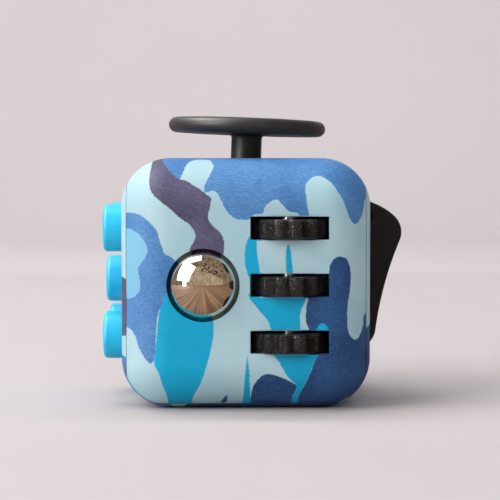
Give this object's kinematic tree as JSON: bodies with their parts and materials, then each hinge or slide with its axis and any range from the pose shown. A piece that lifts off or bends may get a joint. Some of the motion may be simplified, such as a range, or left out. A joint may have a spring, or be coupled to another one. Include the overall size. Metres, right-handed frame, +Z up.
{
  "type": "fidget cube",
  "caption": "Palm-size desk toy cube: press buttons, thumbwheels, a clicking roller ball, a tilting joystick, a rocker switch, a spinning dial and a thumb dent.",
  "frame": {"origin": "centre of the whole object's box at the level of the surface that it rests on; the cube itself is centred 1.16 mm towards -X and 0.52 mm towards +Y", "axes": "+Z up towards the joystick, -Y out of the face with the thumbwheels and ball, -X out of the button face, +X out of the rocker face"},
  "size_m": [0.0404, 0.0368, 0.0387],
  "materials": {
    "camo_shell": "soft-touch lacquer over a water-transfer camouflage print in pale aqua, denim blue, cyan and plum",
    "black_plastic": "fine matt moulded black",
    "wheel_black": "speckled gloss black",
    "cyan_button": "satin cyan",
    "polished_steel": "mirror polished",
    "pin_steel": "ground",
    "spring_steel": "bright drawn",
    "screw_steel": "zinc plated",
    "natural_nylon": "natural moulded",
    "grey_silicone": "matt"
  },
  "bodies": {
    "casing": {"front_top_back_shell": "camo_shell", "side_bottom_shell": "camo_shell", "joystick_bezel": "black_plastic", "joystick_base": "black_plastic", "joystick_spring": "spring_steel", "button_plate": "natural_nylon", "snap_dome_centre": "spring_steel", "snap_dome_top_front": "spring_steel", "snap_dome_bottom_front": "spring_steel", "silent_pad_top_back": "grey_silicone", "silent_pad_bottom_back": "grey_silicone", "ball_dome": "spring_steel", "ball_retainer": "natural_nylon", "wheel_axle": "pin_steel", "wheel_cradle": "natural_nylon", "rocker_housing": "natural_nylon", "rocker_pin": "pin_steel", "detent_spring": "spring_steel", "ball_screw_1": "screw_steel", "ball_screw_2": "screw_steel", "base_screw_1": "screw_steel", "base_screw_2": "screw_steel", "button_screw_1": "screw_steel", "button_screw_2": "screw_steel", "cradle_screw_1": "screw_steel", "cradle_screw_2": "screw_steel", "housing_screw_1": "screw_steel", "housing_screw_2": "screw_steel"},
    "ball_cup": {"ball_cup": "natural_nylon"},
    "ball": {"roller_ball": "polished_steel"},
    "thumbwheel_1": {"thumbwheel_1": "wheel_black"},
    "thumbwheel_2": {"thumbwheel_2": "wheel_black"},
    "thumbwheel_3": {"thumbwheel_3": "wheel_black"},
    "gimbal": {"joystick_gimbal": "natural_nylon"},
    "joystick": {"joystick_stick": "black_plastic"},
    "button_centre": {"button_centre": "cyan_button"},
    "button_top_front": {"button_top_front": "cyan_button"},
    "button_bottom_front": {"button_bottom_front": "cyan_button"},
    "button_top_back": {"button_top_back": "cyan_button"},
    "button_bottom_back": {"button_bottom_back": "cyan_button"},
    "rocker": {"rocker": "black_plastic"},
    "detent_plunger": {"detent_plunger": "pin_steel"},
    "dial": {"dial": "black_plastic", "dial_washer": "screw_steel", "dial_screw_1": "screw_steel"}
  },
  "joints": [
    {"name": "ball_click", "type": "slide", "parent": "casing", "child": "ball_cup", "axis": [0, 1, 0], "range_m": [0, 0.0008], "stiffness_N_per_m": 700, "springref_m": -0.0003, "deforming": ["ball_dome"]},
    {"name": "ball_roll", "type": "hinge", "parent": "ball_cup", "child": "ball", "pos_m": [-0.00681, -0.01292, 0.0165], "axis": [1, 0, 0], "continuous": true},
    {"name": "thumbwheel_1_spin", "type": "hinge", "parent": "casing", "child": "thumbwheel_1", "pos_m": [0.00444, -0.01308, 0.0239], "axis": [0, 0, 1], "continuous": true},
    {"name": "thumbwheel_2_spin", "type": "hinge", "parent": "casing", "child": "thumbwheel_2", "pos_m": [0.00444, -0.01308, 0.0165], "axis": [0, 0, 1], "continuous": true},
    {"name": "thumbwheel_3_spin", "type": "hinge", "parent": "casing", "child": "thumbwheel_3", "pos_m": [0.00444, -0.01308, 0.0091], "axis": [0, 0, 1], "continuous": true},
    {"name": "joystick_tip_up_down", "type": "hinge", "parent": "casing", "child": "gimbal", "pos_m": [-0.00116, 0.00052, 0.028], "axis": [1, 0, 0], "range_deg": [-10, 10], "stiffness_Nm_per_rad": 0.05, "deforming": ["joystick_spring"]},
    {"name": "joystick_tip_across", "type": "hinge", "parent": "gimbal", "child": "joystick", "pos_m": [-0.00116, 0.00052, 0.028], "axis": [0, 1, 0], "range_deg": [-12, 8], "stiffness_Nm_per_rad": 0.05, "deforming": ["joystick_spring"]},
    {"name": "button_centre_press", "type": "slide", "parent": "casing", "child": "button_centre", "axis": [1, 0, 0], "range_m": [0, 0.0008], "stiffness_N_per_m": 900, "springref_m": -0.0003, "deforming": ["snap_dome_centre"]},
    {"name": "button_top_front_press", "type": "slide", "parent": "casing", "child": "button_top_front", "axis": [1, 0, 0], "range_m": [0, 0.0008], "stiffness_N_per_m": 900, "springref_m": -0.0003, "deforming": ["snap_dome_top_front"]},
    {"name": "button_bottom_front_press", "type": "slide", "parent": "casing", "child": "button_bottom_front", "axis": [1, 0, 0], "range_m": [0, 0.0008], "stiffness_N_per_m": 900, "springref_m": -0.0003, "deforming": ["snap_dome_bottom_front"]},
    {"name": "button_top_back_press", "type": "slide", "parent": "casing", "child": "button_top_back", "axis": [1, 0, 0], "range_m": [0, 0.0008], "stiffness_N_per_m": 500, "springref_m": -0.0003, "deforming": ["silent_pad_top_back"]},
    {"name": "button_bottom_back_press", "type": "slide", "parent": "casing", "child": "button_bottom_back", "axis": [1, 0, 0], "range_m": [0, 0.0008], "stiffness_N_per_m": 500, "springref_m": -0.0003, "deforming": ["silent_pad_bottom_back"]},
    {"name": "rocker_flip", "type": "hinge", "parent": "casing", "child": "rocker", "pos_m": [0.01239, 0.00052, 0.01735], "axis": [0, 1, 0], "range_deg": [-30, 0]},
    {"name": "detent_plunge", "type": "slide", "parent": "casing", "child": "detent_plunger", "axis": [-1, 0, 0], "range_m": [0, 0.0006], "stiffness_N_per_m": 300, "springref_m": -0.0005, "deforming": ["detent_spring"]},
    {"name": "dial_spin", "type": "hinge", "parent": "casing", "child": "dial", "pos_m": [-0.00116, 0.01702, 0.0165], "axis": [0, 1, 0], "continuous": true}
  ]
}
